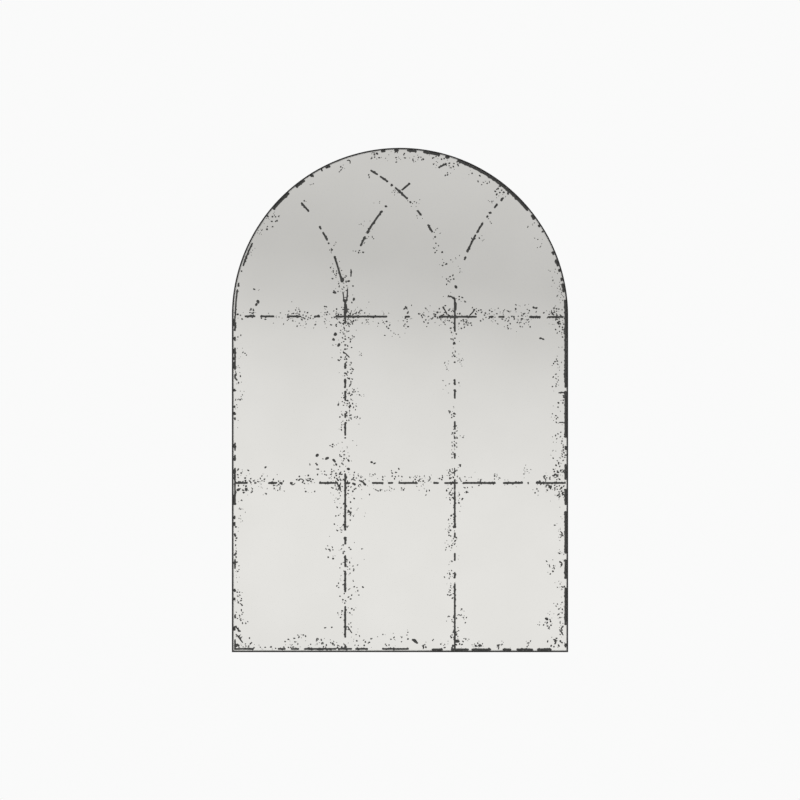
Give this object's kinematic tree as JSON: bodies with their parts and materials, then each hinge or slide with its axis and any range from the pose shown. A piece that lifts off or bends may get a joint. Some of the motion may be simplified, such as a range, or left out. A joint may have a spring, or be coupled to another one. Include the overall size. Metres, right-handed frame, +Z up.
{
  "type": "arched wall mirror",
  "caption": "Tall wall mirror with a half-round head in a slim dark steel-angle frame, its silvering worn away in the lines of a traceried window; rings on the back hang it on hooks.",
  "frame": {"origin": "on the wall plane, midway between the two points where the raised hanging rings bear on their wall hooks", "axes": "+Z up, +Y into the wall, so the glass faces -Y; +X to the right for someone looking at the glass"},
  "size_m": [0.8, 0.0235, 1.1999],
  "materials": {
    "frame_steel": "satin black paint, rubbed at the edges",
    "silvered_glass": "antiqued silvering with dark foxing in window-pane lines",
    "seal": "pale grey sealant",
    "fibreboard": "bare medium-density fibreboard",
    "foam_tape": "white foam",
    "black_screw": "black oxide",
    "zinc_plate": "zinc-plated sheet",
    "zinc_wire": "zinc-plated wire",
    "zinc_screw": "zinc plating",
    "bumper_rubber": "black rubber"
  },
  "bodies": {
    "mirror": {"frame_arch_rail": "frame_steel", "frame_bottom_rail": "frame_steel", "mirror_pane": "silvered_glass", "edge_seal": "seal", "backing_board": "fibreboard", "tape_strip_1": "foam_tape", "tape_strip_2": "foam_tape", "tape_strip_3": "foam_tape", "tape_strip_4": "foam_tape", "head_screws": "black_screw", "left_leg_screws": "black_screw", "right_leg_screws": "black_screw", "bottom_screws": "black_screw", "hanger_strap_left": "zinc_plate", "hanger_strap_right": "zinc_plate", "hanger_screws_left": "zinc_screw", "hanger_screws_right": "zinc_screw", "bumper_lower_left": "bumper_rubber", "bumper_lower_right": "bumper_rubber", "bumper_upper_left": "bumper_rubber", "bumper_upper_right": "bumper_rubber"},
    "ring_left": {"hanger_ring_left": "zinc_wire"},
    "ring_right": {"hanger_ring_right": "zinc_wire"}
  },
  "joints": [
    {"name": "ring_left_swing", "type": "hinge", "parent": "mirror", "child": "ring_left", "pos_m": [-0.27, -0.00355, -0.018], "axis": [1, 0, 0], "range_deg": [0, 180]},
    {"name": "ring_right_swing", "type": "hinge", "parent": "mirror", "child": "ring_right", "pos_m": [0.27, -0.00355, -0.018], "axis": [1, 0, 0], "range_deg": [0, 180]}
  ]
}
